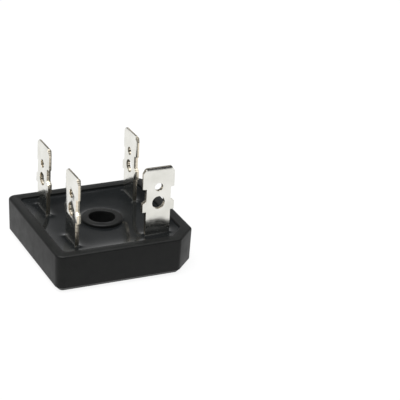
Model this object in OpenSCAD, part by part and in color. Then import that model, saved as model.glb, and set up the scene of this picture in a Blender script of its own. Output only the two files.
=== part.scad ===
// Single-phase bridge rectifier in a square plastic case with a metal base plate.
// The origin is the centre of the base plate's underside, and +Z points along the terminals.

/* [Case] */
// Side of the square case at its rim
case_side = 28.5; // [27:0.1:31]
// Height of the plastic, from its lower edge to the rim
case_h = 7.3; // [6.6:0.1:9]
// Thickness of the side walls at the rim
wall_t = 2.0; // [1.6:0.1:2.2]
// Wall thickness across the cut corner
cut_wall = 2.2; // [1.6:0.1:2.6]
// Leg of the cut corner that marks the positive terminal
cut_leg = 4.0; // [3:0.1:5]
// Radius of the three upright outer corners
corner_r = 1.6; // [0.8:0.1:2.4]
// Radius of the cavity's upright corners
cavity_r = 1.0; // [0.5:0.1:1.5]
// Rounding of the rim's outer edge
rim_round = 0.4; // [0.1:0.05:0.6]
// Chamfer of the rim's inner edge
mouth_chamfer = 0.25; // [0.1:0.05:0.4]
// Chamfer along the lower edge of the plastic
foot_chamfer = 0.8; // [0.4:0.1:1.1]
// How far the walls lean in from the rim to the lower chamfer
draft = 0.15; // [0.05:0.05:0.3]
// Thickness of the moulded floor that insulates the circuit from the plate
floor_t = 0.6; // [0.4:0.05:1]

/* [Screw boss] */
// Radius of the screw hole, a clearance hole for a 4.8 mm screw
bore_r = 2.55; // [2.4:0.05:2.75]
// Outer radius of the boss around the screw hole
boss_r = 4.05; // [3.7:0.05:4.4]
// How far the boss's top lies below the rim
boss_drop = 0.22; // [0.05:0.01:0.6]
// Rounding of the boss's top outer edge
boss_round = 0.35; // [0.1:0.05:0.6]
// How far the boss's lower end lies above the plate's underside
boss_recess = 0.3; // [0.1:0.05:0.6]
// Chamfer of both ends of the screw hole
bore_chamfer = 0.15; // [0.05:0.05:0.3]

/* [Base plate] */
// Thickness of the base plate
plate_t = 1.2; // [1:0.05:1.5]
// How far the plate stands out below the plastic
plate_proud = 0.1; // [0.05:0.05:0.2]
// Plastic edge left around the plate
plate_lip = 0.15; // [0.05:0.05:0.4]
// Rounding of the plate's lower edge, made as a chamfer
plate_edge = 0.2; // [0.1:0.05:0.3]
// Small chamfer of the plate's three full corners
plate_corner = 0.5; // [0.2:0.1:1]
// Radius of the plate's centre hole
plate_hole_r = 4.2; // [3.9:0.05:4.6]
// Width of the four keys that lock the moulding in the plate
key_w = 2.2; // [1.6:0.1:2.8]
// Distance from the centre to the end of a key
key_reach = 5.8; // [5.4:0.1:6.4]

/* [Potting] */
// Depth of the potting's level below the rim
pot_drop = 0.75; // [0.65:0.05:1.4]
// Height and width of the rise along the walls
wall_rise = 0.45; // [0.3:0.05:0.6]
// Height and width of the rise around the boss
boss_rise = 0.35; // [0.2:0.05:0.5]
// Height and width of the rise around each terminal
tab_rise = 0.4; // [0.2:0.05:0.55]
// Thickness at which the potting ends at the top of each rise
rise_edge = 0.05; // [0.02:0.01:0.1]

/* [Terminals] */
// Width of the push-on tab
tab_w = 6.35; // [6.2:0.05:6.4]
// Thickness of the strip
tab_t = 0.8; // [0.75:0.05:0.85]
// Height of the tab's tip above the base
tab_tip = 20.4; // [19.4:0.1:22]
// Distance from the tip down to the end of the full width
tab_full = 4.15; // [3.9:0.05:4.4]
// Chamfer of the tip's corners
tip_corner = 1.0; // [0.6:0.1:1.4]
// Height of the bevel on both faces at the tip
tip_bevel_h = 0.8; // [0.4:0.1:1]
// Depth of the bevel on each face at the tip
tip_bevel_d = 0.22; // [0.1:0.02:0.3]
// Width of the bevel along both sides of the push-on width
side_bevel_w = 0.5; // [0.2:0.05:0.6]
// Depth of the bevel along both sides of the push-on width
side_bevel_d = 0.14; // [0.05:0.01:0.2]
// Width of the strip below the full width
neck_w = 4.9; // [4.6:0.05:5]
// Distance from the tip down to the top of the ears
ear_top = 6.6; // [6.4:0.05:6.8]
// Distance from the tip down to the bottom of the ears
ear_bottom = 8.8; // [8.5:0.05:9]
// Slope height of the ears' upper corners
ear_slope = 0.5; // [0.2:0.05:0.7]
// Distance from the tip down to the small hole
small_hole_drop = 3.95; // [3.7:0.05:4.2]
// Radius of the small hole
small_hole_r = 0.82; // [0.7:0.02:0.9]
// Distance from the tip down to the large hole
large_hole_drop = 7.1; // [7:0.05:7.3]
// Radius of the large hole
large_hole_r = 1.28; // [1.1:0.02:1.4]
// Inside radius of the bend at the foot
bend_r = 0.4; // [0.3:0.05:0.6]
// Length of the soldered foot, from the tab's back face
foot_l = 2.6; // [2.4:0.1:2.8]

/* [Terminal places] */
// Gap from the positive terminal's edge to the right wall of the cavity
positive_right = 2.5; // [2.3:0.05:2.7]
// Gap from the positive terminal's face to the front wall
positive_front = 2.6; // [2.4:0.05:2.8]
// Gap from the negative terminal's face to the left wall
negative_left = 2.7; // [2.5:0.05:2.9]
// Gap from the negative terminal's edge to the back wall
negative_back = 2.6; // [2.4:0.05:2.8]
// Gap from the left alternating-current terminal's face to the left wall
ac_left_left = 3.05; // [2.9:0.05:3.2]
// Gap from the left alternating-current terminal's edge to the front wall
ac_left_front = 2.6; // [2.4:0.05:2.8]
// Gap from the right alternating-current terminal's face to the right wall
ac_right_right = 2.9; // [2.7:0.05:3.1]
// Gap from the right alternating-current terminal's edge to the back wall
ac_right_back = 2.05; // [1.9:0.05:2.2]

/* [Circuit] */
// Thickness of the lead plates under the dice
lead_t = 0.6; // [0.5:0.05:0.7]
// Gap between the lead plates and the cavity's walls
lead_gap = 0.3; // [0.2:0.05:0.4]
// Thickness of a solder layer
solder_t = 0.1; // [0.05:0.01:0.15]
// Margin by which the solder stays inside what it joins
solder_margin = 0.15; // [0.05:0.05:0.3]
// Side of a diode die
die_side = 4.8; // [4.4:0.1:5]
// Thickness of a diode die
die_t = 0.3; // [0.25:0.01:0.4]
// Gap between a die and the nearest wall of the cavity
die_gap = 1.2; // [1.1:0.05:1.3]
// Shift of the left die towards the back
die_shift = 1.7; // [1.5:0.1:1.9]
// Lead plate left around a die or a foot
die_border = 0.3; // [0.2:0.05:0.4]
// Gap between the lead plates and the screw boss
boss_gap = 0.4; // [0.3:0.05:0.6]
// Thickness of the jumpers and of the negative bridge
clip_t = 0.4; // [0.3:0.05:0.5]
// Width of a jumper
clip_w = 2.4; // [2:0.1:2.8]
// Length over which a jumper steps down
clip_step = 1.0; // [0.8:0.1:1.1]
// Gap between a jumper's foot and the terminal beside it
clip_gap = 0.6; // [0.4:0.05:0.8]
// Shift of a jumper from its die's middle, towards the wall
clip_shift = 0.8; // [0.7:0.05:1]

/* [Hidden] */
$fn = 64;
bend_steps = 8;
rise_steps = 4;
thin = 0.01;
past = 1;
cut_share = 2 - sqrt(2);
rim_z = plate_proud + case_h;
floor_z = plate_t + floor_t;
boss_top = rim_z - boss_drop;
pot_z = rim_z - pot_drop;
cavity_side = case_side - 2 * wall_t;
cavity_leg = cut_leg + cut_wall * sqrt(2) - 2 * wall_t;
foot_inset = draft + foot_chamfer;
plate_side = case_side - 2 * (foot_inset + plate_lip);
lead_z = floor_z + lead_t;
cavity_half = cavity_side / 2;
lead_end = cavity_half - lead_gap;
die_z = lead_z + solder_t;
clip_z = die_z + die_t + solder_t;
bridge_z = clip_z + clip_t;
die_half = die_side / 2;
pad = die_half + die_border;
die_reach = cavity_half - die_gap - die_half;

case_colour = "#26282a";
zinc_colour = "#b5b9b5";
potting_colour = "#151617";
tin_colour = "#dcdcd4";
copper_colour = "#b8764a";
silicon_colour = "#454b57";
solder_colour = "#9b9ea1";

// Leg of the cut corner on an outline that is drawn in by inset on every side
function inner_leg(leg, inset) = leg - inset * cut_share;

// Square with three rounded corners and the corner at +X -Y cut at 45 degrees
module cut_outline(side, radius, leg) {
    difference() {
        union() {
            square([side - 2 * radius, side], center = true);
            square([side, side - 2 * radius], center = true);
            for (x = [-1, 1], y = [-1, 1])
                translate([x, y] * (side / 2 - radius)) circle(radius);
        }
        translate([side / 2, -side / 2]) rotate(45) square(leg * sqrt(2), center = true);
    }
}

// The plate's outline: straight small chamfers, and the same cut corner
module plate_outline(inset = 0) {
    half = plate_side / 2 - inset;
    leg = inner_leg(cut_leg, foot_inset + plate_lip + inset);
    small = plate_corner;
    polygon([
        [-half + small, -half], [half - leg, -half], [half, -half + leg], [half, half - small],
        [half - small, half], [-half + small, half], [-half, half - small], [-half, -half + small]
    ]);
}

// Hole in the plate, which the moulding fills
module keyed_outline() {
    circle(plate_hole_r);
    square([2 * key_reach, key_w], center = true);
    square([key_w, 2 * key_reach], center = true);
}

module case_slice(z, inset) {
    translate([0, 0, z]) linear_extrude(thin)
        cut_outline(case_side - 2 * inset, corner_r, inner_leg(cut_leg, inset));
}

// Outside of the moulding, with its lower chamfer, draft and rounded rim
module case_block() {
    hull() {
        case_slice(plate_proud, foot_inset);
        case_slice(plate_proud + foot_chamfer, draft);
        for (a = [0 : 30 : 90])
            case_slice(rim_z - thin - rim_round * (1 - sin(a)), rim_round * (1 - cos(a)));
    }
}

module cavity() {
    translate([0, 0, floor_z]) linear_extrude(case_h) cut_outline(cavity_side, cavity_r, cavity_leg);
    hull() {
        translate([0, 0, rim_z - mouth_chamfer]) linear_extrude(thin)
            cut_outline(cavity_side, cavity_r, cavity_leg);
        translate([0, 0, rim_z]) linear_extrude(thin)
            cut_outline(cavity_side + 2 * mouth_chamfer, cavity_r + mouth_chamfer,
                        inner_leg(cavity_leg, -mouth_chamfer));
    }
}

module boss() {
    rotate_extrude() {
        translate([0, boss_recess]) square([boss_r, boss_top - boss_round - boss_recess]);
        translate([0, boss_recess]) square([boss_r - boss_round, boss_top - boss_recess]);
        translate([boss_r - boss_round, boss_top - boss_round]) circle(boss_round);
    }
}

module case() {
    color(case_colour) difference() {
        union() {
            difference() {
                case_block();
                cavity();
                linear_extrude(plate_t) plate_outline();
            }
            boss();
            translate([0, 0, boss_recess]) linear_extrude(plate_t - boss_recess) keyed_outline();
        }
        translate([0, 0, -past]) cylinder(h = rim_z + 2 * past, r = bore_r);
        translate([0, 0, boss_top - bore_chamfer])
            cylinder(h = bore_chamfer, r1 = bore_r, r2 = bore_r + bore_chamfer);
        translate([0, 0, boss_recess])
            cylinder(h = bore_chamfer, r1 = bore_r + bore_chamfer, r2 = bore_r);
    }
}

module base_plate() {
    color(zinc_colour) difference() {
        hull() {
            linear_extrude(thin) plate_outline(plate_edge);
            translate([0, 0, plate_edge]) linear_extrude(plate_t - plate_edge) plate_outline();
        }
        translate([0, 0, -past]) linear_extrude(plate_t + 2 * past) keyed_outline();
    }
}

// Face of a tab, with the tip at the origin and the strip running down
module tab_face(bottom) {
    full = tab_w / 2;
    neck = neck_w / 2;
    difference() {
        polygon([
            [-neck, bottom], [-neck, -ear_bottom], [-full, -ear_bottom], [-full, -ear_top - ear_slope],
            [-neck, -ear_top], [-neck, -tab_full], [-full, -tab_full], [-full, -tip_corner],
            [-full + tip_corner, 0], [full - tip_corner, 0], [full, -tip_corner], [full, -tab_full],
            [neck, -tab_full], [neck, -ear_top], [full, -ear_top - ear_slope], [full, -ear_bottom],
            [neck, -ear_bottom], [neck, bottom]
        ]);
        translate([0, -small_hole_drop]) circle(small_hole_r);
        translate([0, -large_hole_drop]) circle(large_hole_r);
    }
}

// Quarter arc of this radius about the bend's centre, from the blade round to the foot
function bend_arc(radius, centre) = [
    for (i = [0 : bend_steps]) let (a = 180 + 90 * i / bend_steps)
        centre + radius * [cos(a), sin(a)]
];

// Side of a tab: bevelled tip above, and the bend and foot below
module tab_side(foot_z) {
    half = tab_t / 2;
    centre = [half + bend_r, foot_z + tab_t + bend_r];
    end = half + foot_l;
    polygon(concat(
        [[half, tab_tip - tip_bevel_h], [half - tip_bevel_d, tab_tip],
         [-half + tip_bevel_d, tab_tip], [-half, tab_tip - tip_bevel_h]],
        bend_arc(bend_r + tab_t, centre),
        [[end, foot_z], [end, foot_z + tab_t]],
        [for (i = [bend_steps : -1 : 0]) bend_arc(bend_r, centre)[i]]
    ));
}

// Section of the push-on width, bevelled along both sides
module tab_section() {
    full = tab_w / 2;
    half = tab_t / 2;
    edge = half - side_bevel_d;
    polygon([
        [-full, -edge], [-full + side_bevel_w, -half], [full - side_bevel_w, -half], [full, -edge],
        [full, edge], [full - side_bevel_w, half], [-full + side_bevel_w, half], [-full, edge]
    ]);
}

// A bent and pierced terminal: its foot runs along +Y before it is turned
module terminal(place, turn, foot_z) {
    reach = foot_l + tab_t;
    color(tin_colour) translate([place.x, place.y, 0]) rotate(turn) intersection() {
        translate([0, reach, tab_tip]) rotate([90, 0, 0])
            linear_extrude(2 * reach) tab_face(foot_z - tab_tip);
        translate([-tab_w / 2, 0, 0]) rotate([90, 0, 90]) linear_extrude(tab_w) tab_side(foot_z);
        union() {
            translate([0, 0, tab_tip - tab_full]) linear_extrude(tab_full + past) tab_section();
            translate([-tab_w / 2 - past, -reach, foot_z - past])
                cube([tab_w + 2 * past, 2 * reach, tab_tip - tab_full - foot_z + past]);
        }
    }
}

// Distances of a strip's middle from the centre, for these gaps to the walls
function by_edge(gap) = cavity_half - gap - neck_w / 2;
function by_face(gap) = cavity_half - gap - tab_t / 2;
positive_place = [by_edge(positive_right), -by_face(positive_front)];
negative_place = [-by_face(negative_left), by_edge(negative_back)];
ac_left_place = [-by_face(ac_left_left), -by_edge(ac_left_front)];
ac_right_place = [by_face(ac_right_right), by_edge(ac_right_back)];
positive_turn = 0;
negative_turn = -90;
ac_left_turn = -90;
ac_right_turn = 90;

module positive_terminal() { terminal(positive_place, positive_turn, die_z); }
module negative_terminal() { terminal(negative_place, negative_turn, bridge_z + solder_t); }
module ac_terminal_left() { terminal(ac_left_place, ac_left_turn, die_z); }
module ac_terminal_right() { terminal(ac_right_place, ac_right_turn, die_z); }

// Places of the four dice
die_front_place = [0, -die_reach];
die_left_place = [-die_reach, die_shift];
die_right_place = [die_reach, 0];
die_back_place = [0, die_reach];

// Room that a terminal's foot and a jumper's foot take on a plate
foot_run = tab_t / 2 + foot_l + die_border;
foot_half = neck_w / 2 + die_border;
jumper_foot = die_half + clip_step;
jumper_near = jumper_foot - die_border;
jumper_front_end = -ac_left_place.x - tab_t / 2 - foot_l - clip_gap;
jumper_right_end = ac_right_place.y - neck_w / 2 - clip_gap;
jumper_inner = clip_w / 2 - clip_shift + die_border;

// Lead plate on the moulded floor, relieved around the boss
module lead() {
    color(copper_colour) difference() {
        translate([0, 0, floor_z]) linear_extrude(lead_t) children();
        translate([0, 0, floor_z - past]) cylinder(h = lead_t + 2 * past, r = boss_r + boss_gap);
    }
}

module corner_rect(low, high) {
    translate(low) square(high - low);
}

// Common cathode plate of the front and right dice, under the positive terminal
module positive_lead() {
    lead() difference() {
        union() {
            corner_rect([-pad, -lead_end], [lead_end, -die_reach + pad]);
            corner_rect([die_reach - pad, -lead_end], [lead_end, pad]);
            corner_rect([positive_place.x - foot_half, -lead_end], [lead_end, positive_place.y + foot_run]);
        }
        translate([lead_end, -lead_end]) rotate(45)
            square(inner_leg(cavity_leg, lead_gap) * sqrt(2), center = true);
    }
}

// Plate under the left die, the left terminal and the front jumper's foot
module ac_lead_left() {
    start = [-lead_end, -lead_end];
    lead() {
        corner_rect(start, [-die_reach + pad, die_shift + pad]);
        corner_rect(start, [ac_left_place.x + foot_run, ac_left_place.y + foot_half]);
        corner_rect(start, [-jumper_near, -die_reach + jumper_inner]);
    }
}

// Plate under the back die, the right terminal and the right jumper's foot
module ac_lead_right() {
    end = [lead_end, lead_end];
    lead() {
        corner_rect([-pad, die_reach - pad], end);
        corner_rect([ac_right_place.x - foot_run, ac_right_place.y - foot_half], end);
        corner_rect([die_reach - jumper_inner, jumper_near], end);
    }
}

// Common anode bridge over the left and back dice, under the negative terminal
module negative_bridge() {
    near = die_half - solder_margin;
    color(copper_colour) translate([0, 0, clip_z]) linear_extrude(clip_t) {
        corner_rect([-die_reach - near, die_shift - near], [-die_reach + near, lead_end]);
        corner_rect([-die_reach - near, negative_place.y - foot_half],
                    [negative_place.x + foot_run, lead_end]);
        corner_rect([-die_reach - near, die_reach - near], [near, die_reach + near]);
    }
}

// Jumper along -X from the top of a die, stepping down to the next plate
module jumper(place, turn, end) {
    top = clip_z - die_z;
    flat = die_half;
    step = jumper_foot;
    color(copper_colour) translate([place.x, place.y, die_z]) rotate(turn)
        rotate([90, 0, 0]) linear_extrude(clip_w, center = true) polygon([
            [flat - solder_margin, top], [flat - solder_margin, top + clip_t], [-flat, top + clip_t],
            [-step, clip_t], [-end, clip_t], [-end, 0], [-step, 0], [-flat, top]
        ]);
}

// Middle lines of the two jumpers, at their dice
jumper_front_place = die_front_place - [0, clip_shift];
jumper_right_place = die_right_place + [clip_shift, 0];

module jumper_front() { jumper(jumper_front_place, 0, jumper_front_end); }
module jumper_right() { jumper(jumper_right_place, -90, jumper_right_end); }

module die(place) {
    color(silicon_colour) translate([place.x, place.y, die_z + die_t / 2])
        cube([die_side, die_side, die_t], center = true);
}

module die_front() { die(die_front_place); }
module die_right() { die(die_right_place); }
module die_left() { die(die_left_place); }
module die_back() { die(die_back_place); }

// Solder layer with its lower face at z
module solder(place, size, z) {
    color(solder_colour) translate([place.x, place.y, z + solder_t / 2])
        cube([size.x - 2 * solder_margin, size.y - 2 * solder_margin, solder_t], center = true);
}

die_size = [die_side, die_side];
over_z = clip_z - solder_t;

module solder_under_die_front() { solder(die_front_place, die_size, lead_z); }
module solder_under_die_right() { solder(die_right_place, die_size, lead_z); }
module solder_under_die_left() { solder(die_left_place, die_size, lead_z); }
module solder_under_die_back() { solder(die_back_place, die_size, lead_z); }

module solder_over_die_front() { solder(jumper_front_place, [die_side, clip_w], over_z); }
module solder_over_die_right() { solder(jumper_right_place, [clip_w, die_side], over_z); }
module solder_over_die_left() { solder(die_left_place, die_size, over_z); }
module solder_over_die_back() { solder(die_back_place, die_size, over_z); }

// Solder under a jumper's foot, which runs along -X before it is turned
module jumper_solder(place, turn, end) {
    translate([place.x, place.y, 0]) rotate(turn)
        solder([-(jumper_foot + end) / 2, 0], [end - jumper_foot, clip_w], lead_z);
}

module solder_jumper_front() { jumper_solder(jumper_front_place, 0, jumper_front_end); }
module solder_jumper_right() { jumper_solder(jumper_right_place, -90, jumper_right_end); }

// Solder under a terminal's foot, which runs along +Y before it is turned
module foot_solder(place, turn, z) {
    start = tab_t / 2 + bend_r;
    translate([place.x, place.y, 0]) rotate(turn)
        solder([0, start + (foot_l - bend_r) / 2], [neck_w, foot_l - bend_r], z);
}

module solder_positive() { foot_solder(positive_place, positive_turn, lead_z); }
module solder_negative() { foot_solder(negative_place, negative_turn, bridge_z); }
module solder_ac_left() { foot_solder(ac_left_place, ac_left_turn, lead_z); }
module solder_ac_right() { foot_solder(ac_right_place, ac_right_turn, lead_z); }

// Everything that the potting surrounds
module circuit() {
    positive_terminal(); negative_terminal(); ac_terminal_left(); ac_terminal_right();
    positive_lead(); ac_lead_left(); ac_lead_right(); negative_bridge();
    jumper_front(); jumper_right();
    die_front(); die_right(); die_left(); die_back();
    solder_under_die_front(); solder_under_die_right(); solder_under_die_left(); solder_under_die_back();
    solder_over_die_front(); solder_over_die_right(); solder_over_die_left(); solder_over_die_back();
    solder_jumper_front(); solder_jumper_right();
    solder_positive(); solder_negative(); solder_ac_left(); solder_ac_right();
}

// Hollow curve of the surface where it rises, from the top edge at x = 0 down to the level
function rise_curve(rise) = [
    for (i = [0 : rise_steps]) let (a = 90 * i / rise_steps) [rise * (1 - cos(a)), rise * (1 - sin(a))]
];

// Air above the potting as one wall alone shapes it, with the wall at x = 0
module dish_section() {
    far = 2 * case_side;
    translate([rise_edge, 0])
        polygon(concat(rise_curve(wall_rise), [[far, 0], [far, 2 * wall_rise], [0, 2 * wall_rise]]));
}

// The same, with the wall at this turn and distance from the centre
module wall_dish(wall) {
    rotate(wall[0]) translate([-wall[1], 0, pot_z]) rotate([90, 0, 0])
        linear_extrude(2 * case_side, center = true) dish_section();
}

// Turn and distance of each wall of the cavity, the cut corner's last
walls = [
    [0, cavity_half], [90, cavity_half], [180, cavity_half], [270, cavity_half],
    [135, (cavity_side - cavity_leg) / sqrt(2)]
];

// Section of a mound that hugs something of this half width on both sides
module mound_section(half, rise) {
    side = [for (p = rise_curve(rise)) [half + rise_edge + p.x, p.y]];
    top = half + rise_edge;
    below = rise_edge;
    for (m = [0, 1]) mirror([m, 0]) polygon(concat([[0, -below], [0, rise]], side,
                                                   [[top + rise, -below]]));
}

// Mound of potting around a terminal
module tab_mound(place, turn) {
    translate([place.x, place.y, pot_z]) rotate(turn) intersection() {
        rotate([90, 0, 0]) linear_extrude(tab_w, center = true) mound_section(neck_w / 2, tab_rise);
        rotate([90, 0, 90]) linear_extrude(2 * tab_w, center = true) mound_section(tab_t / 2, tab_rise);
    }
}

// Ring of potting that climbs the boss
module boss_mound() {
    translate([0, 0, pot_z]) rotate_extrude() translate([boss_r + rise_edge, 0])
        polygon(concat(rise_curve(boss_rise), [[boss_rise, -rise_edge], [-rise_edge - past, -rise_edge],
                                               [-rise_edge - past, boss_rise]]));
}

module cavity_prism(top) {
    translate([0, 0, floor_z]) linear_extrude(top - floor_z)
        cut_outline(cavity_side, cavity_r, cavity_leg);
}

module potting() {
    color(potting_colour) difference() {
        union() {
            difference() {
                cavity_prism(pot_z + wall_rise);
                intersection_for(wall = walls) wall_dish(wall);
            }
            intersection() {
                cavity_prism(pot_z + wall_rise);
                union() {
                    boss_mound();
                    tab_mound(positive_place, positive_turn);
                    tab_mound(negative_place, negative_turn);
                    tab_mound(ac_left_place, ac_left_turn);
                    tab_mound(ac_right_place, ac_right_turn);
                }
            }
        }
        translate([0, 0, floor_z - past]) cylinder(h = rim_z, r = boss_r);
        circuit();
    }
}

case();
base_plate();
potting();
positive_terminal();
negative_terminal();
ac_terminal_left();
ac_terminal_right();
positive_lead();
ac_lead_left();
ac_lead_right();
negative_bridge();
jumper_front();
jumper_right();
die_front();
die_right();
die_left();
die_back();
solder_under_die_front();
solder_under_die_right();
solder_under_die_left();
solder_under_die_back();
solder_over_die_front();
solder_over_die_right();
solder_over_die_left();
solder_over_die_back();
solder_jumper_front();
solder_jumper_right();
solder_positive();
solder_negative();
solder_ac_left();
solder_ac_right();
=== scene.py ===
import math
import bpy
import bmesh
from mathutils import Matrix, Vector, noise


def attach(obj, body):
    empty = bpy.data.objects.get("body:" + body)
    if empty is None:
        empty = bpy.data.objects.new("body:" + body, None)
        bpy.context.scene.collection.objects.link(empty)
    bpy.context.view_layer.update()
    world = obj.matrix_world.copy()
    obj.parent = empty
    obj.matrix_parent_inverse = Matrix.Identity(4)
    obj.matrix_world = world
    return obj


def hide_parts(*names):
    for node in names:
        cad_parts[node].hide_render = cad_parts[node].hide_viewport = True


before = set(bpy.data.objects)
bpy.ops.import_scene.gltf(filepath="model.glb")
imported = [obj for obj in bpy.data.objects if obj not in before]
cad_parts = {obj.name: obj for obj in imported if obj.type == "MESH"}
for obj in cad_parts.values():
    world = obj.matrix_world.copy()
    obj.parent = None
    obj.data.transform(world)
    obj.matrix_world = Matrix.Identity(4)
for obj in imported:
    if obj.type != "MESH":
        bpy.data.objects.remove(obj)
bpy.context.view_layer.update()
mm = 0.001
print("frame loaded:", len(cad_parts), "nodes")


# Small helpers. All the sizes below are in millimetres and are turned to metres here.

def clearAll():
    bpy.ops.object.select_all(action="DESELECT")


def makeActive(obj):
    clearAll()
    obj.select_set(True)
    bpy.context.view_layer.objects.active = obj


def startEdit(obj):
    makeActive(obj)
    bpy.ops.object.mode_set(mode="EDIT")
    bpy.ops.mesh.select_all(action="DESELECT")


def endEdit():
    bpy.ops.object.mode_set(mode="OBJECT")


def pick(obj, kind, test):  # in edit mode: selects the faces, edges or verts that pass the test
    bpy.ops.mesh.select_all(action="DESELECT")
    bpy.ops.mesh.select_mode(type=kind)
    mesh = bmesh.from_edit_mesh(obj.data)
    for part in {"FACE": mesh.faces, "EDGE": mesh.edges, "VERT": mesh.verts}[kind]:
        if kind == "FACE":
            part.select_set(test(part.calc_center_median() / mm, part.normal))
        elif kind == "EDGE":
            part.select_set(test(part.verts[0].co / mm, part.verts[1].co / mm))
        else:
            part.select_set(test(part.co / mm))
    bmesh.update_edit_mesh(obj.data)


def slide(x=0, y=0, z=0):
    bpy.ops.transform.translate(value=(x * mm, y * mm, z * mm))


def extrude(x=0, y=0, z=0):
    bpy.ops.mesh.extrude_region_move(TRANSFORM_OT_translate={"value": (x * mm, y * mm, z * mm)})


def cutAcross(place, normal, clearOuter=False):  # bisects everything in edit mode
    bpy.ops.mesh.select_all(action="SELECT")
    bpy.ops.mesh.bisect(plane_co=[c * mm for c in place], plane_no=normal, clear_outer=clearOuter,
                        use_fill=clearOuter)


def addBlock(name, low, high):  # cube primitive between two corners
    clearAll()
    low, high = Vector(low), Vector(high)
    bpy.ops.mesh.primitive_cube_add(size=1, location=(low + high) / 2 * mm)
    block = bpy.context.active_object
    block.name = block.data.name = name
    block.scale = (high - low) * mm
    bpy.ops.object.transform_apply(location=True, rotation=True, scale=True)
    return block


def addRod(name, radius, low, high, sides=96):  # cylinder primitive round the Z axis
    clearAll()
    bpy.ops.mesh.primitive_cylinder_add(vertices=sides, radius=radius * mm, depth=(high - low) * mm,
                                        location=(0, 0, (low + high) / 2 * mm))
    rod = bpy.context.active_object
    rod.name = rod.data.name = name
    bpy.ops.object.transform_apply(location=True, rotation=True, scale=True)
    return rod


def useModifier(obj, kind, **settings):
    makeActive(obj)
    modifier = obj.modifiers.new(kind.title(), kind)
    for key, value in settings.items():
        setattr(modifier, key, value)
    bpy.ops.object.modifier_apply(modifier=modifier.name)


def combine(obj, other, way):  # boolean with another piece, which is then removed
    useModifier(obj, "BOOLEAN", object=other, operation=way, solver="EXACT")
    bpy.data.objects.remove(other)


def smooth(obj, degrees=35):
    makeActive(obj)
    bpy.ops.object.shade_smooth_by_angle(angle=math.radians(degrees))


def copyPiece(obj, name):  # a copy with a mesh of its own
    twin = obj.copy()
    twin.data = obj.data.copy()
    twin.name = twin.data.name = name
    bpy.context.scene.collection.objects.link(twin)
    return twin


def isUpright(a, b):
    return abs(a.x - b.x) < 1e-3 and abs(a.y - b.y) < 1e-3


def isCutCorner(a):
    return a.x > 0 and a.y < 0


# Materials

def hexColour(text):  # sRGB hex to linear
    parts = [int(text[i:i + 2], 16) / 255 for i in (1, 3, 5)]
    return tuple(c / 12.92 if c <= 0.04045 else ((c + 0.055) / 1.055) ** 2.4 for c in parts) + (1,)


def newMaterial(name):
    material = bpy.data.materials.new(name)
    material.use_nodes = True
    material.node_tree.nodes.clear()
    return material


def addNode(tree, kind, links=None, **settings):  # settings are node properties or input values
    node = tree.nodes.new(kind)
    for key, value in settings.items():
        if hasattr(node, key):
            setattr(node, key, value)
    for key, value in settings.items():
        if not hasattr(node, key):
            node.inputs[key.replace("_", " ")].default_value = value
    for key, source in (links or {}).items():
        tree.links.new(source, node.inputs[key])
    return node


def giveMaterial(obj, material):
    obj.data.materials.clear()
    obj.data.materials.append(material)


# Finishes: one function each, used further down

def makeCasePlastic():  # phenolic moulding compound: near black, fine matt grain from the tool, soft sheen
    material = newMaterial("moulded phenolic")
    tree = material.node_tree
    coords = addNode(tree, "ShaderNodeTexCoord").outputs["Object"]
    grain = addNode(tree, "ShaderNodeTexNoise", {"Vector": coords}, Scale=5200, Detail=3)
    patches = addNode(tree, "ShaderNodeTexNoise", {"Vector": coords}, Scale=420, Detail=4)
    colour = addNode(tree, "ShaderNodeValToRGB", {"Fac": patches.outputs["Fac"]})
    colour.color_ramp.elements[0].position = 0.3
    colour.color_ramp.elements[0].color = hexColour("#0e0f0f")
    colour.color_ramp.elements[1].position = 0.7
    colour.color_ramp.elements[1].color = hexColour("#161716")
    rough = addNode(tree, "ShaderNodeMapRange", {"Value": patches.outputs["Fac"]},
                    From_Min=0.3, From_Max=0.7, To_Min=0.42, To_Max=0.52)
    bump = addNode(tree, "ShaderNodeBump", {"Height": grain.outputs["Fac"]}, Strength=0.25, Distance=0.00002)
    shader = addNode(tree, "ShaderNodeBsdfPrincipled",
                     {"Base Color": colour.outputs["Color"], "Roughness": rough.outputs["Result"],
                      "Normal": bump.outputs["Normal"]}, Specular_IOR_Level=0.2)
    addNode(tree, "ShaderNodeOutputMaterial", {"Surface": shader.outputs["BSDF"]})
    return material


def makeEpoxy():  # poured epoxy: black, glossy as it cured, slightly uneven
    material = newMaterial("poured epoxy")
    tree = material.node_tree
    coords = addNode(tree, "ShaderNodeTexCoord").outputs["Object"]
    waves = addNode(tree, "ShaderNodeTexNoise", {"Vector": coords}, Scale=260, Detail=2)
    haze = addNode(tree, "ShaderNodeTexNoise", {"Vector": coords}, Scale=700, Detail=3)
    rough = addNode(tree, "ShaderNodeMapRange", {"Value": haze.outputs["Fac"]},
                    From_Min=0.35, From_Max=0.7, To_Min=0.07, To_Max=0.14)
    bump = addNode(tree, "ShaderNodeBump", {"Height": waves.outputs["Fac"]}, Strength=0.15, Distance=0.0001)
    shader = addNode(tree, "ShaderNodeBsdfPrincipled",
                     {"Roughness": rough.outputs["Result"], "Normal": bump.outputs["Normal"]},
                     Base_Color=hexColour("#17191a"), IOR=1.5)
    addNode(tree, "ShaderNodeOutputMaterial", {"Surface": shader.outputs["BSDF"]})
    return material


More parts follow.
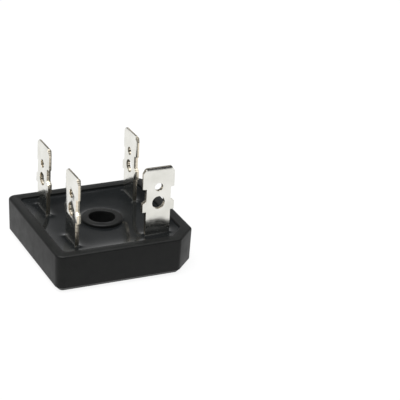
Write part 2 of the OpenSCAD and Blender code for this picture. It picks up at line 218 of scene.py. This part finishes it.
def makeTin():  # bright tin plating over rolled brass: warm white metal, faint rolling lines
    material = newMaterial("bright tin plate")
    tree = material.node_tree
    coords = addNode(tree, "ShaderNodeTexCoord").outputs["Object"]
    spots = addNode(tree, "ShaderNodeTexNoise", {"Vector": coords}, Scale=1500, Detail=3)
    clouds = addNode(tree, "ShaderNodeTexNoise", {"Vector": coords}, Scale=300, Detail=2)
    colour = addNode(tree, "ShaderNodeValToRGB", {"Fac": clouds.outputs["Fac"]})
    colour.color_ramp.elements[0].position = 0.35
    colour.color_ramp.elements[0].color = hexColour("#dcdbd4")
    colour.color_ramp.elements[1].position = 0.65
    colour.color_ramp.elements[1].color = hexColour("#e8e7e1")
    rough = addNode(tree, "ShaderNodeMapRange", {"Value": spots.outputs["Fac"]},
                    From_Min=0.35, From_Max=0.65, To_Min=0.15, To_Max=0.22)
    bump = addNode(tree, "ShaderNodeBump", {"Height": spots.outputs["Fac"]}, Strength=0.12, Distance=0.00001)
    shader = addNode(tree, "ShaderNodeBsdfPrincipled",
                     {"Base Color": colour.outputs["Color"], "Roughness": rough.outputs["Result"],
                      "Normal": bump.outputs["Normal"]}, Metallic=1.0)
    addNode(tree, "ShaderNodeOutputMaterial", {"Surface": shader.outputs["BSDF"]})
    return material


def makeZinc():  # zinc-coated rolled steel: mottled mid grey with a dull sparkle
    material = newMaterial("zinc coated steel")
    tree = material.node_tree
    coords = addNode(tree, "ShaderNodeTexCoord").outputs["Object"]
    flecks = addNode(tree, "ShaderNodeTexNoise", {"Vector": coords}, Scale=1800, Detail=4, Roughness=0.7)
    clouds = addNode(tree, "ShaderNodeTexNoise", {"Vector": coords}, Scale=250, Detail=3)
    colour = addNode(tree, "ShaderNodeValToRGB", {"Fac": flecks.outputs["Fac"]})
    colour.color_ramp.elements[0].position = 0.3
    colour.color_ramp.elements[0].color = hexColour("#9fa39f")
    colour.color_ramp.elements[1].position = 0.7
    colour.color_ramp.elements[1].color = hexColour("#c3c6c2")
    rough = addNode(tree, "ShaderNodeMapRange", {"Value": clouds.outputs["Fac"]},
                    From_Min=0.3, From_Max=0.7, To_Min=0.38, To_Max=0.52)
    bump = addNode(tree, "ShaderNodeBump", {"Height": flecks.outputs["Fac"]}, Strength=0.2, Distance=0.00002)
    shader = addNode(tree, "ShaderNodeBsdfPrincipled",
                     {"Base Color": colour.outputs["Color"], "Roughness": rough.outputs["Result"],
                      "Normal": bump.outputs["Normal"]}, Metallic=1.0)
    addNode(tree, "ShaderNodeOutputMaterial", {"Surface": shader.outputs["BSDF"]})
    return material


def makeInner(name, dark, light, metallic, low, high, size):  # copper, silicon and solder inside
    material = newMaterial(name)
    tree = material.node_tree
    coords = addNode(tree, "ShaderNodeTexCoord").outputs["Object"]
    spots = addNode(tree, "ShaderNodeTexNoise", {"Vector": coords}, Scale=1 / (size * mm), Detail=3)
    colour = addNode(tree, "ShaderNodeValToRGB", {"Fac": spots.outputs["Fac"]})
    colour.color_ramp.elements[0].position = 0.35
    colour.color_ramp.elements[0].color = hexColour(dark)
    colour.color_ramp.elements[1].position = 0.65
    colour.color_ramp.elements[1].color = hexColour(light)
    rough = addNode(tree, "ShaderNodeMapRange", {"Value": spots.outputs["Fac"]},
                    From_Min=0.35, From_Max=0.65, To_Min=low, To_Max=high)
    shader = addNode(tree, "ShaderNodeBsdfPrincipled",
                     {"Base Color": colour.outputs["Color"], "Roughness": rough.outputs["Result"]},
                     Metallic=metallic)
    addNode(tree, "ShaderNodeOutputMaterial", {"Surface": shader.outputs["BSDF"]})
    return material


def makeInk():  # pale marking, dusty grey on the black moulding
    material = newMaterial("pale marking")
    tree = material.node_tree
    coords = addNode(tree, "ShaderNodeTexCoord").outputs["Object"]
    wear = addNode(tree, "ShaderNodeTexNoise", {"Vector": coords}, Scale=4000, Detail=2)
    colour = addNode(tree, "ShaderNodeValToRGB", {"Fac": wear.outputs["Fac"]})
    colour.color_ramp.elements[0].position = 0.35
    colour.color_ramp.elements[0].color = hexColour("#6f716f")
    colour.color_ramp.elements[1].position = 0.55
    colour.color_ramp.elements[1].color = hexColour("#a3a5a2")
    shader = addNode(tree, "ShaderNodeBsdfPrincipled", {"Base Color": colour.outputs["Color"]},
                     Roughness=0.6, IOR=1.5)
    addNode(tree, "ShaderNodeOutputMaterial", {"Surface": shader.outputs["BSDF"]})
    return material


def makeEdge(name, dark, light, low, high):  # punched edge of the strip: ribs across it, 0.28 mm apart
    material = newMaterial(name)
    tree = material.node_tree
    coords = addNode(tree, "ShaderNodeTexCoord").outputs["Object"]
    ribs = addNode(tree, "ShaderNodeTexWave", {"Vector": coords}, bands_direction="Z", Scale=1120,
                   Distortion=2.5, Detail=2, Detail_Scale=1.5)
    colour = addNode(tree, "ShaderNodeValToRGB", {"Fac": ribs.outputs["Fac"]})
    colour.color_ramp.elements[0].position = 0.1
    colour.color_ramp.elements[0].color = hexColour(dark)
    colour.color_ramp.elements[1].position = 0.6
    colour.color_ramp.elements[1].color = hexColour(light)
    rough = addNode(tree, "ShaderNodeMapRange", {"Value": ribs.outputs["Fac"]}, From_Min=0, From_Max=1,
                    To_Min=high, To_Max=low)
    bump = addNode(tree, "ShaderNodeBump", {"Height": ribs.outputs["Fac"]}, Strength=0.4, Distance=0.00003)
    shader = addNode(tree, "ShaderNodeBsdfPrincipled",
                     {"Base Color": colour.outputs["Color"], "Roughness": rough.outputs["Result"],
                      "Normal": bump.outputs["Normal"]}, Metallic=1.0)
    addNode(tree, "ShaderNodeOutputMaterial", {"Surface": shader.outputs["BSDF"]})
    return material


tin = makeTin()
sheared = makeEdge("sheared strip edge", "#c9bea9", "#efe5d3", 0.16, 0.3)
torn = makeEdge("torn strip edge", "#77746b", "#aeaa9d", 0.35, 0.55)


# Camera and its view

view = {
    "place": (-114.339, -277.594, 150.265),
    "azimuth": -25.918,
    "elevation": 24.808,
    "roll": 3.211,
    "lens": 156.73,
}


def makeCamera():
    a, e, r = (math.radians(view[key]) for key in ("azimuth", "elevation", "roll"))
    back = Vector((math.sin(a) * math.cos(e), -math.cos(a) * math.cos(e), math.sin(e)))
    level = Vector((0, 0, 1)).cross(back).normalized()
    upward = back.cross(level)
    right = level * math.cos(r) + upward * math.sin(r)
    bpy.ops.object.camera_add(location=Vector(view["place"]) * mm)
    camera = bpy.context.active_object
    camera.name = "camera"
    camera.rotation_euler = Matrix((right, back.cross(right), back)).transposed().to_euler()
    camera.data.lens = view["lens"]
    camera.data.sensor_width = 36
    camera.data.clip_start = 0.01
    camera.data.clip_end = 20
    bpy.context.scene.camera = camera


clearAll()
makeCamera()
print("camera placed")


# Case: black thermoset moulding with a cut corner, a screw boss and keys in the base plate

caseSizes = {
    "side": 28.5, "low": 0.1, "rim": 7.4, "cutLeg": 4.0, "cornerRadius": 1.6, "cutRound": 0.35,
    "rimRound": 0.4, "footChamfer": 0.8, "draft": 0.15,
    "cavitySide": 24.5, "cavityLeg": 3.11, "cavityRadius": 1.0, "mouthChamfer": 0.2, "floor": 1.8,
    "bossRadius": 4.05, "bossTop": 7.18, "bossRound": 0.35, "bossLow": 0.3,
    "bore": 2.55, "boreChamfer": 0.15, "edgeRound": 0.09,
}
plateSizes = {
    "side": 26.3, "cutLeg": 3.36, "corner": 0.5, "thick": 1.2, "hole": 4.2, "keyWidth": 2.2,
    "keyReach": 5.8, "edgeRound": 0.2, "holeRound": 0.08,
}


def makeSquare(name, side, cutLeg, radius, low, high, steps, cutRound=0):
    half = side / 2
    block = addBlock(name, (-half, -half, low), (half, half, high))
    startEdit(block)
    pick(block, "EDGE", lambda a, b: isUpright(a, b) and isCutCorner(a))
    bpy.ops.mesh.bevel(offset=cutLeg * mm, segments=1)
    pick(block, "EDGE", lambda a, b: isUpright(a, b) and not isCutCorner(a))
    bpy.ops.mesh.bevel(offset=radius * mm, segments=steps)
    if cutRound:
        pick(block, "EDGE", lambda a, b: isUpright(a, b) and isCutCorner(a))
        bpy.ops.mesh.bevel(offset=cutRound * mm, segments=3)
    endEdit()
    return block


def makeKeyed(low, high, grow=0):  # list of solids that together fill the plate's keyed hole
    reach, half = plateSizes["keyReach"] + grow, plateSizes["keyWidth"] / 2 + grow
    return [addRod("keyRod", plateSizes["hole"] + grow, low, high),
            addBlock("keyX", (-reach, -half, low), (reach, half, high)),
            addBlock("keyY", (-half, -reach, low), (half, reach, high))]


def makeCase():
    s = caseSizes
    body = makeSquare("moulded_case", s["side"], s["cutLeg"], s["cornerRadius"], s["low"], s["rim"], 8,
                      s["cutRound"])
    startEdit(body)
    pick(body, "EDGE", lambda a, b: max(a.z, b.z) < s["low"] + 0.01)
    bpy.ops.mesh.bevel(offset=s["footChamfer"] * mm, segments=1)
    pick(body, "EDGE", lambda a, b: min(a.z, b.z) > s["rim"] - 0.01)
    bpy.ops.mesh.bevel(offset=s["rimRound"] * mm, segments=4)
    pick(body, "VERT", lambda p: p.z < 2)
    lean = 1 - 2 * s["draft"] / s["side"]
    bpy.ops.transform.resize(value=(lean, lean, 1), center_override=(0, 0, 0))
    endEdit()
    cavity = makeSquare("cavity", s["cavitySide"], s["cavityLeg"], s["cavityRadius"], s["floor"],
                        s["rim"] + 2, 6)
    combine(body, cavity, "DIFFERENCE")
    startEdit(body)
    inside = s["cavitySide"] / 2 + 0.01
    pick(body, "EDGE", lambda a, b: min(a.z, b.z) > s["rim"] - 0.01
         and max(abs(a.x), abs(a.y), abs(b.x), abs(b.y)) < inside)
    bpy.ops.mesh.bevel(offset=s["mouthChamfer"] * mm, segments=3)
    endEdit()
    pocket = makeSquare("pocket", plateSizes["side"], plateSizes["cutLeg"], plateSizes["corner"], -2,
                        plateSizes["thick"], 1)
    combine(body, pocket, "DIFFERENCE")
    boss = addRod("boss", s["bossRadius"], s["bossLow"], s["bossTop"])
    startEdit(boss)
    pick(boss, "EDGE", lambda a, b: min(a.z, b.z) > s["bossTop"] - 0.01)
    bpy.ops.mesh.bevel(offset=s["bossRound"] * mm, segments=4)
    endEdit()
    combine(body, boss, "UNION")
    for part in makeKeyed(s["bossLow"], plateSizes["thick"] + 0.2):
        combine(body, part, "UNION")
    combine(body, addRod("bore", s["bore"], -2, s["rim"] + 2), "DIFFERENCE")
    startEdit(body)
    pick(body, "EDGE", lambda a, b: abs(a.z - b.z) < 1e-3 and min(a.xy.length, b.xy.length) > s["bore"] - 0.02
         and max(a.xy.length, b.xy.length) < s["bore"] + 0.02)
    bpy.ops.mesh.bevel(offset=s["boreChamfer"] * mm, segments=3)
    endEdit()
    useModifier(body, "BEVEL", width=s["edgeRound"] * mm, segments=2, limit_method="ANGLE",
                angle_limit=math.radians(36), harden_normals=False)
    smooth(body, 40)
    return body


# Base plate: rolled zinc-coated steel, pressed with four key slots

def makePlate():
    s = plateSizes
    plate = makeSquare("heat_plate", s["side"], s["cutLeg"], s["corner"], 0, s["thick"], 1)
    startEdit(plate)
    pick(plate, "EDGE", lambda a, b: max(a.z, b.z) < 0.01)
    bpy.ops.mesh.bevel(offset=s["edgeRound"] * mm, segments=3)
    endEdit()
    for part in makeKeyed(-2, s["thick"] + 2):
        combine(plate, part, "DIFFERENCE")
    useModifier(plate, "BEVEL", width=s["holeRound"] * mm, segments=2, limit_method="ANGLE",
                angle_limit=math.radians(50))
    smooth(plate)
    return plate


# Terminals: one stamped, pierced and bent tab, copied to four places

tabSizes = {
    "width": 6.35, "thick": 0.8, "tip": 20.4, "neck": 4.9, "full": 4.15, "earTop": 6.6, "earBottom": 8.8,
    "earSlope": 0.5, "tipCorner": 1.0, "tipBevel": 0.8, "tipDepth": 0.22,
    "sideBevel": 0.5, "sideDepth": 0.14,
    "smallHole": 0.82, "smallDrop": 3.95, "largeHole": 1.28, "largeDrop": 7.1,
    "footLow": 2.5, "footLength": 2.6, "bendRadius": 0.4, "edgeRound": 0.11, "shearEnd": 0.08,
}
tabPlaces = {  # place, turn in degrees, height of the foot above the usual one
    "positive_terminal": ((7.3, -9.25), 0, 0),
    "negative_terminal": ((-9.15, 7.2), -90, 0.9),
    "ac_terminal_left": ((-8.8, -7.2), -90, 0),
    "ac_terminal_right": ((8.95, 7.75), 90, 0),
}


def makeTab():
    s = tabSizes
    neck, full, half, tip = s["neck"] / 2, s["width"] / 2, s["thick"] / 2, s["tip"]
    bendTop = s["footLow"] + s["thick"] + s["bendRadius"]
    tab = addBlock("tab", (-neck, -half, bendTop), (neck, half, tip))
    startEdit(tab)
    for drop in (s["earBottom"], s["earTop"], s["full"]):
        cutAcross((0, 0, tip - drop), (0, 0, 1))
    for side in (-1, 1):  # ears and push-on width stand out from the strip
        for top, bottom in ((s["earTop"], s["earBottom"]), (0, s["full"])):
            pick(tab, "FACE", lambda p, n: n.x * side > 0.9 and abs(p.x) < neck + 0.01
                 and tip - bottom < p.z < tip - top)
            extrude(x=side * (full - neck))
    pick(tab, "VERT", lambda p: abs(p.x) > full - 0.01 and abs(p.z - tip + s["earTop"]) < 0.01)
    slide(z=-s["earSlope"])
    pick(tab, "EDGE", lambda a, b: min(a.z, b.z) > tip - 0.01 and min(abs(a.x), abs(b.x)) > full - 0.01)
    bpy.ops.mesh.bevel(offset=s["tipCorner"] * mm, segments=1)
    for side in (-1, 1):  # both sides of the push-on width are coined thinner
        pick(tab, "FACE", lambda p, n: p.z > tip - s["full"] + 0.01)
        bpy.ops.mesh.bisect(plane_co=(side * (full - s["sideBevel"]) * mm, 0, 0), plane_no=(1, 0, 0))
    pick(tab, "VERT", lambda p: abs(p.x) > full - 0.01 and p.z > tip - s["full"] - 0.01)
    bpy.ops.transform.resize(value=(1, 1 - s["sideDepth"] / half, 1), center_override=(0, 0, tip * mm))
    cutAcross((0, 0, tip - s["tipBevel"]), (0, 0, 1))
    pick(tab, "VERT", lambda p: p.z > tip - 0.01)
    bpy.ops.transform.resize(value=(1, 1 - s["tipDepth"] / half, 1), center_override=(0, 0, tip * mm))
    pick(tab, "FACE", lambda p, n: n.z < -0.9 and p.z < bendTop + 0.01)
    bpy.ops.mesh.spin(steps=8, angle=math.pi / 2, axis=(1, 0, 0),
                      center=(0, (half + s["bendRadius"]) * mm, bendTop * mm))
    extrude(y=s["footLength"] - s["bendRadius"])
    bpy.ops.mesh.select_all(action="SELECT")
    bpy.ops.mesh.remove_doubles(threshold=1e-6)
    bpy.ops.mesh.normals_make_consistent(inside=False)
    endEdit()
    for radius, drop in ((s["smallHole"], s["smallDrop"]), (s["largeHole"], s["largeDrop"])):
        clearAll()
        bpy.ops.mesh.primitive_cylinder_add(vertices=48, radius=radius * mm, depth=4 * mm,
                                            location=(0, 0, (tip - drop) * mm), rotation=(math.pi / 2, 0, 0))
        punch = bpy.context.active_object
        bpy.ops.object.transform_apply(location=True, rotation=True, scale=True)
        combine(tab, punch, "DIFFERENCE")
    startEdit(tab)
    cutAcross((0, s["shearEnd"], 0), (0, 1, 0))  # the punch shears this far, then the strip tears
    endEdit()
    useModifier(tab, "BEVEL", width=s["edgeRound"] * mm, segments=3, limit_method="ANGLE",
                angle_limit=math.radians(30))
    smooth(tab)
    for material in (tin, sheared, torn):
        tab.data.materials.append(material)
    for face in tab.data.polygons:
        onEdge = abs(face.normal.y) < 0.6 and (abs(face.normal.x) > 0.5 or face.center.z > bendTop * mm)
        if onEdge:
            face.material_index = 1 if face.center.y < s["shearEnd"] * mm else 2
    return tab


def placeTabs(tab):
    tabs = {}
    for node, (place, turn, lift) in tabPlaces.items():
        twin = copyPiece(tab, node + "_tab")
        if lift:
            startEdit(twin)
            s = tabSizes
            bendTop = s["footLow"] + s["thick"] + s["bendRadius"]
            pick(twin, "VERT", lambda p: p.z < bendTop + 0.1)
            slide(z=lift)
            endEdit()
        twin.location = (place[0] * mm, place[1] * mm, 0)
        twin.rotation_euler = (0, 0, math.radians(turn))
        makeActive(twin)
        bpy.ops.object.transform_apply(location=True, rotation=True, scale=True)
        tabs[node] = twin
    bpy.data.objects.remove(tab)
    return tabs


# Potting: poured black epoxy whose surface climbs the walls, the boss and the terminals

pottingSizes = {
    "level": 6.6, "floor": 1.8, "cells": 160,
    "wallRise": 0.42, "wallFade": 1.5, "bossRise": 0.12, "bossFade": 0.5, "tabRise": 0.3, "tabFade": 0.45,
    "dish": 0.08, "highest": 7.09, "ripple": 0.03, "rippleSize": 6.0, "ripplePlane": 3.1,
}


def distanceToTab(x, y, place, turn):
    a = math.radians(turn)
    u = (x - place[0]) * math.cos(a) + (y - place[1]) * math.sin(a)
    v = -(x - place[0]) * math.sin(a) + (y - place[1]) * math.cos(a)
    return math.hypot(max(abs(u) - tabSizes["neck"] / 2, 0), max(abs(v) - tabSizes["thick"] / 2, 0))


def poolHeight(x, y):
    s, half = pottingSizes, caseSizes["cavitySide"] / 2
    cut = (2 * half - caseSizes["cavityLeg"] - (x - y)) / math.sqrt(2)
    rise = sum(s["wallRise"] * math.exp(-max(d, 0) / s["wallFade"])
               for d in (half - x, half + x, half - y, half + y, cut))
    away = math.hypot(x, y)
    rise += s["bossRise"] * (1 + y / max(away, 1)) * math.exp(-max(away - caseSizes["bossRadius"], 0)
                                                              / s["bossFade"])
    for place, turn, _ in tabPlaces.values():
        rise += s["tabRise"] * math.exp(-distanceToTab(x, y, place, turn) / s["tabFade"])
    room = s["highest"] - s["level"]
    rise = room * math.tanh(rise / room)
    wave = noise.noise(Vector((x, y, s["ripplePlane"])) / s["rippleSize"]) * s["ripple"]
    sag = s["dish"] * (1 - (x * x + y * y) / (half * half))  # it shrank a little as it cured
    return s["level"] + rise + wave - max(sag, 0)


def makePotting(tabs):
    s, c = pottingSizes, caseSizes
    half = c["cavitySide"] / 2
    clearAll()
    bpy.ops.mesh.primitive_grid_add(x_subdivisions=s["cells"], y_subdivisions=s["cells"], size=2 * half * mm,
                                    location=(0, 0, s["level"] * mm))
    pool = bpy.context.active_object
    pool.name = pool.data.name = "potting_pool"
    bpy.ops.object.transform_apply(location=True, rotation=True, scale=True)
    startEdit(pool)
    edge = half - c["cavityLeg"] / 2
    bpy.ops.mesh.select_all(action="SELECT")
    bpy.ops.mesh.bisect(plane_co=(edge * mm, -edge * mm, 0), plane_no=(1, -1, 0), clear_outer=True)
    mesh = bmesh.from_edit_mesh(pool.data)
    flat = half - c["cavityRadius"]
    for vert in mesh.verts:
        x, y = vert.co.x / mm, vert.co.y / mm
        u, v = abs(x) - flat, abs(y) - flat
        if u > 0 and v > 0 and not isCutCorner(vert.co):  # the three corners are turned round
            share = max(u, v) / math.hypot(u, v)
            x, y = math.copysign(flat + u * share, x), math.copysign(flat + v * share, y)
        vert.co = (x * mm, y * mm, poolHeight(x, y) * mm)
    bmesh.update_edit_mesh(pool.data)
    bpy.ops.mesh.select_mode(type="EDGE")
    bpy.ops.mesh.select_all(action="DESELECT")
    bpy.ops.mesh.select_non_manifold()
    extrude(z=-1)
    bpy.ops.transform.resize(value=(1, 1, 0), center_override=(0, 0, s["floor"] * mm))
    bpy.ops.mesh.edge_face_add()
    bpy.ops.mesh.select_all(action="SELECT")
    bpy.ops.mesh.normals_make_consistent(inside=False)
    endEdit()
    combine(pool, addRod("bossRoom", c["bossRadius"], 0, 9), "DIFFERENCE")
    for tab in tabs.values():
        combine(pool, copyPiece(tab, "tabRoom"), "DIFFERENCE")
    smooth(pool, 50)
    return pool


# Polarity signs on the right wall

signSizes = {
    "plus": (-7.9, 5.2), "wave": (9.2, 5.2), "arm": 1.9, "stroke": 0.32, "proud": 0.01,
    "thick": 0.04, "sunk": 0.05, "waveHeight": 0.3, "waveSteps": 20,
}


def makeSigns():
    s = signSizes
    clearAll()
    parts = []
    across, up = s["plus"]
    half, thin = s["arm"] / 2, s["stroke"] / 2
    parts.append(addBlock("plusLevel", (0, across - half, up - thin),
                          (s["thick"], across + half, up + thin)))
    startEdit(parts[0])
    for side in (-1, 1):
        cutAcross((0, across + side * thin, 0), (0, 1, 0))
    for side in (-1, 1):
        pick(parts[0], "FACE", lambda p, n: n.z * side > 0.9 and abs(p.y - across) < thin)
        extrude(z=side * (half - thin))
    endEdit()
    across, up = s["wave"]
    steps = s["waveSteps"]
    wave = addBlock("wave", (0, across - half, up - thin), (s["thick"], across + half, up + thin))
    startEdit(wave)
    for i in range(1, steps):
        cutAcross((0, across - half + 2 * half * i / steps, 0), (0, 1, 0))
    mesh = bmesh.from_edit_mesh(wave.data)
    for vert in mesh.verts:
        share = (vert.co.y / mm - across) / half
        vert.co.z += s["waveHeight"] * mm * math.sin(share * math.pi)
    bmesh.update_edit_mesh(wave.data)
    endEdit()
    parts.append(wave)
    clearAll()
    for part in parts:
        part.select_set(True)
    bpy.context.view_layer.objects.active = parts[0]
    bpy.ops.object.join()
    signs = bpy.context.active_object
    signs.name = signs.data.name = "polarity_signs"
    c = caseSizes
    for vert in signs.data.vertices:  # laid on the leaning wall
        straight = c["rim"] - c["rimRound"]
        fall = (straight - vert.co.z / mm) / (straight - c["low"] - c["footChamfer"])
        wall = c["side"] / 2 - c["draft"] * fall
        outer = vert.co.x > s["thick"] / 2 * mm
        vert.co.x = (wall + (s["proud"] if outer else -s["sunk"])) * mm
    return signs


case = makeCase()
print("case made:", len(case.data.polygons), "faces")
plate = makePlate()
print("base plate made:", len(plate.data.polygons), "faces")
tabs = placeTabs(makeTab())
print("terminals made:", len(tabs["positive_terminal"].data.polygons), "faces each")
pool = makePotting(tabs)
print("potting made:", len(pool.data.polygons), "faces")
signs = makeSigns()


# Finishes given to the pieces

giveMaterial(case, makeCasePlastic())
giveMaterial(plate, makeZinc())
giveMaterial(pool, makeEpoxy())
giveMaterial(signs, makeInk())
copper = makeInner("bare rolled copper", "#b8764c", "#c98a5e", 1.0, 0.28, 0.4, 0.8)
silicon = makeInner("sawn silicon", "#3d424c", "#4a505c", 0.0, 0.2, 0.3, 0.5)
solder = makeInner("reflowed solder", "#96999c", "#a9acae", 1.0, 0.3, 0.45, 0.4)
for name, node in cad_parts.items():
    if name.startswith("solder"):
        giveMaterial(node, solder)
    elif name.startswith("die"):
        giveMaterial(node, silicon)
    elif "lead" in name or "jumper" in name or "bridge" in name:
        giveMaterial(node, copper)
print("finishes given")

for piece, node, slot in ((case, "case", "case_plastic"), (plate, "base_plate", "base_metal"),
                          (pool, "potting", "potting_epoxy")):
    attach(piece, "root")
    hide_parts(node)
for node, tab in tabs.items():
    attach(tab, "root")
    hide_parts(node)
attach(signs, "root")


# Floor, world and lamps

studio = {
    "floorSize": 6000, "floorColour": "#f4f4f3", "floorGlow": 0.9,
    "skyLow": 0.05, "skyLowEnd": 0.62, "skyTop": 1.5, "skyTopStart": 0.85,
    "backdrop": 0.95, "backdropEnd": (0.08, 0.48), "backdropSide": (0.2, 0.75),
    "backdropWay": (0.38, 0.92, 0),
    "keyPower": 2.2, "keySize": 350, "keyPlace": (-120, -60, 460),
}


def makeFloor():
    clearAll()
    bpy.ops.mesh.primitive_plane_add(size=studio["floorSize"] * mm, location=(0, 0, -0.02 * mm))
    floor = bpy.context.active_object
    floor.name = "floor"
    bpy.ops.object.transform_apply(location=True, rotation=True, scale=True)
    material = newMaterial("pale studio floor")
    tree = material.node_tree
    path = addNode(tree, "ShaderNodeLightPath")
    seen = addNode(tree, "ShaderNodeMath", operation="MAXIMUM")
    tree.links.new(path.outputs["Is Camera Ray"], seen.inputs[0])
    tree.links.new(path.outputs["Is Glossy Ray"], seen.inputs[1])
    seenToo = addNode(tree, "ShaderNodeMath", operation="MAXIMUM")
    tree.links.new(seen.outputs["Value"], seenToo.inputs[0])
    tree.links.new(path.outputs["Is Transmission Ray"], seenToo.inputs[1])
    share = addNode(tree, "ShaderNodeMath", operation="MULTIPLY")
    tree.links.new(seenToo.outputs["Value"], share.inputs[0])
    share.inputs[1].default_value = studio["floorGlow"]
    matt = addNode(tree, "ShaderNodeBsdfDiffuse", Color=hexColour(studio["floorColour"]))
    glow = addNode(tree, "ShaderNodeEmission", Strength=1.0)
    both = addNode(tree, "ShaderNodeMixShader", {"Fac": share.outputs["Value"]})
    tree.links.new(matt.outputs["BSDF"], both.inputs[1])
    tree.links.new(glow.outputs["Emission"], both.inputs[2])
    addNode(tree, "ShaderNodeOutputMaterial", {"Surface": both.outputs["Shader"]})
    giveMaterial(floor, material)


def makeWorld():
    world = bpy.data.worlds.new("soft studio")
    bpy.context.scene.world = world
    world.use_nodes = True
    tree = world.node_tree
    tree.nodes.clear()
    coords = addNode(tree, "ShaderNodeTexCoord")
    parts = addNode(tree, "ShaderNodeSeparateXYZ", {"Vector": coords.outputs["Generated"]})
    ramp = addNode(tree, "ShaderNodeValToRGB", {"Fac": parts.outputs["Z"]})
    levels = ((studio["skyLowEnd"], studio["skyLow"]), (studio["skyTopStart"], studio["skyTop"]))
    for stop, (place, level) in zip(ramp.color_ramp.elements, levels):  # sine of the height above the floor
        stop.position = place
        stop.color = (level, level, level, 1)
    behind = addNode(tree, "ShaderNodeVectorMath", {0: coords.outputs["Generated"]},
                     operation="DOT_PRODUCT")
    behind.inputs[1].default_value = studio["backdropWay"]
    sideways = addNode(tree, "ShaderNodeMapRange", {"Value": behind.outputs["Value"]},
                       From_Min=studio["backdropSide"][0], From_Max=studio["backdropSide"][1],
                       To_Min=0, To_Max=studio["backdrop"])
    upward = addNode(tree, "ShaderNodeMapRange", {"Value": parts.outputs["Z"]},
                     From_Min=studio["backdropEnd"][0], From_Max=studio["backdropEnd"][1], To_Min=1, To_Max=0)
    sweep = addNode(tree, "ShaderNodeMath", {0: sideways.outputs["Result"], 1: upward.outputs["Result"]},
                    operation="MULTIPLY")
    both = addNode(tree, "ShaderNodeMix", {6: ramp.outputs["Color"]}, data_type="RGBA", blend_type="ADD")
    both.inputs[0].default_value = 1
    tree.links.new(sweep.outputs["Value"], both.inputs[7])
    back = addNode(tree, "ShaderNodeBackground", {"Color": both.outputs[2]}, Strength=1.0)
    addNode(tree, "ShaderNodeOutputWorld", {"Surface": back.outputs["Background"]})


def addLamp(name, place, size, power):
    clearAll()
    bpy.ops.object.light_add(type="AREA", location=Vector(place) * mm)
    lamp = bpy.context.active_object
    lamp.name = name
    lamp.data.shape = "SQUARE"
    lamp.data.size = size * mm
    lamp.data.energy = power
    lamp.rotation_euler = (Vector(place)).to_track_quat("Z", "Y").to_euler()


makeFloor()
makeWorld()
addLamp("key softbox", studio["keyPlace"], studio["keySize"], studio["keyPower"])
bpy.context.scene.view_settings.view_transform = "Standard"
print("studio set")
